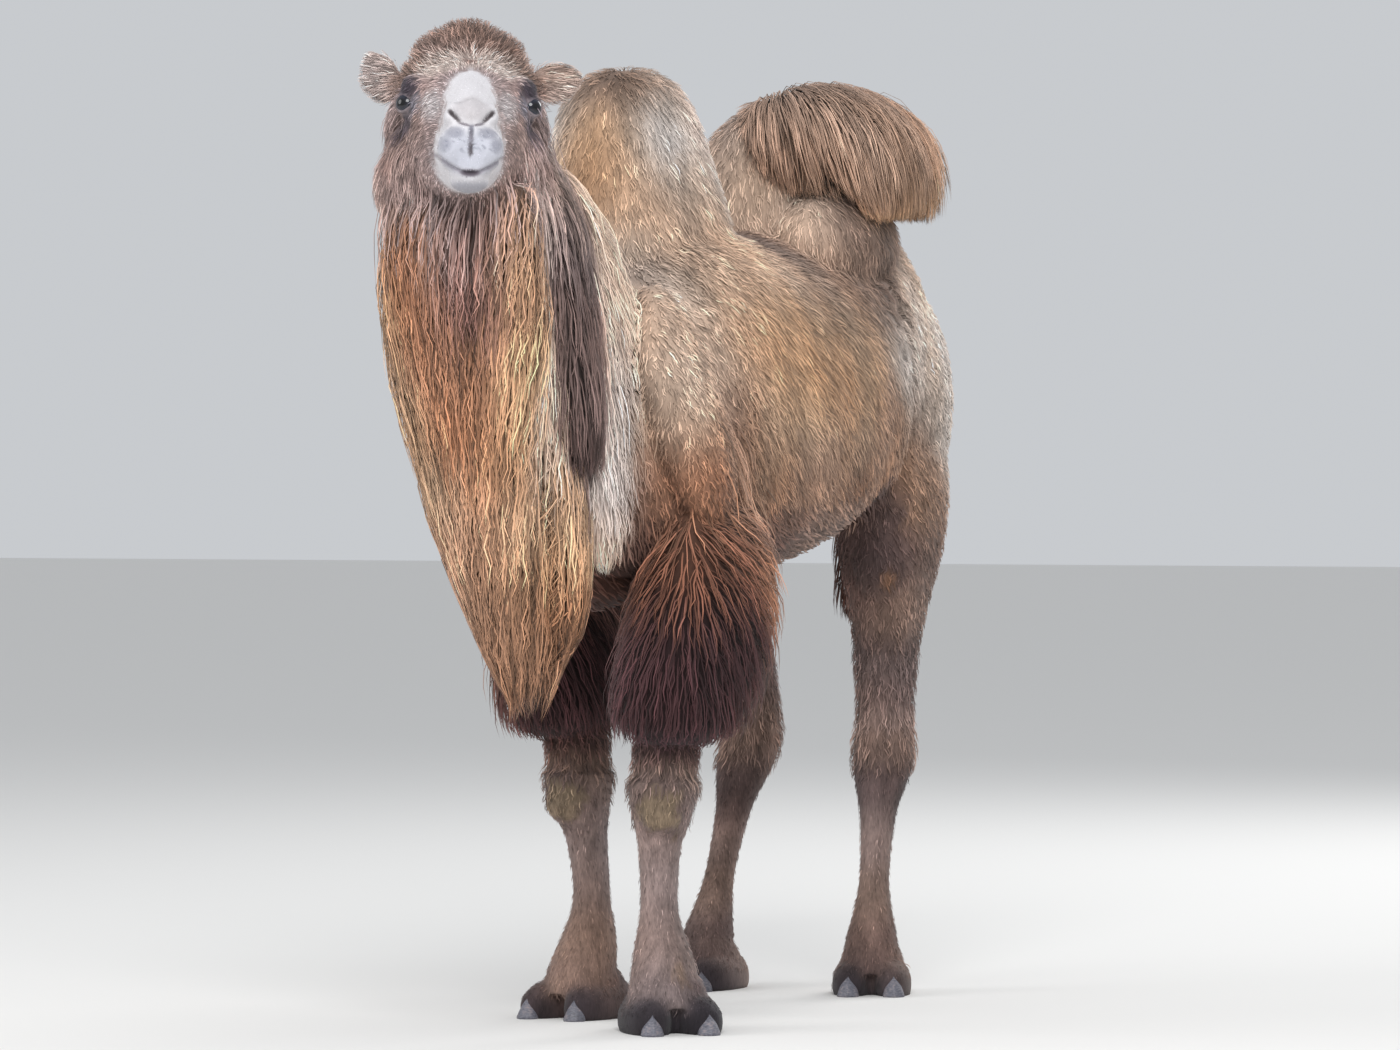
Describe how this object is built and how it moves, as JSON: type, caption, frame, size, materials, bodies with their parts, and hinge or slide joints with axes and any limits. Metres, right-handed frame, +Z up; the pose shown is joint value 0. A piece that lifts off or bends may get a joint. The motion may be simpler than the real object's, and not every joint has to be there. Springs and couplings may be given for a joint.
{
  "type": "bactrian camel",
  "caption": "Life-size still model of a standing adult Bactrian camel in full winter coat, head raised and turned to its left, rear hump fallen over to the left.",
  "frame": {"origin": "on the floor under the middle of the model's bounding box", "axes": "+Z up, the camel faces -Y and its left side is at +X"},
  "size_m": [0.7716, 2.4788, 2.1483],
  "materials": {
    "eye": "wet gloss",
    "ear_fur": "soft fur",
    "nail": "worn horn",
    "foot_skin": "short fur on thick skin",
    "lower_leg_fur": "short flat fur",
    "muff_hair": "long combed hair",
    "thigh_wool": "tight wool",
    "hump_hair": "long combed hair",
    "face_fur": "short fur",
    "topknot_hair": "woolly tuft",
    "beard_hair": "long straight locks",
    "neck_wool": "long wool",
    "pale_wool": "wavy wool",
    "flank_wool": "deep wool",
    "tail_hair": "long hair"
  },
  "bodies": {
    "root": {"barrel": "flank_wool", "beard": "beard_hair", "chest": "pale_wool", "ear_left": "ear_fur", "ear_right": "ear_fur", "eye_left": "eye", "eye_right": "eye", "fore_left_arm": "muff_hair", "fore_left_foot": "foot_skin", "fore_left_nail_inner": "nail", "fore_left_nail_outer": "nail", "fore_left_shank": "lower_leg_fur", "fore_right_arm": "muff_hair", "fore_right_foot": "foot_skin", "fore_right_nail_inner": "nail", "fore_right_nail_outer": "nail", "fore_right_shank": "lower_leg_fur", "head": "face_fur", "hind_left_foot": "foot_skin", "hind_left_nail_inner": "nail", "hind_left_nail_outer": "nail", "hind_left_shank": "lower_leg_fur", "hind_left_thigh": "thigh_wool", "hind_right_foot": "foot_skin", "hind_right_nail_inner": "nail", "hind_right_nail_outer": "nail", "hind_right_shank": "lower_leg_fur", "hind_right_thigh": "thigh_wool", "hump_front": "hump_hair", "hump_rear": "hump_hair", "neck_lower": "neck_wool", "neck_upper": "neck_wool", "rump": "pale_wool", "tail": "tail_hair", "topknot": "topknot_hair"}
  },
  "joints": []
}
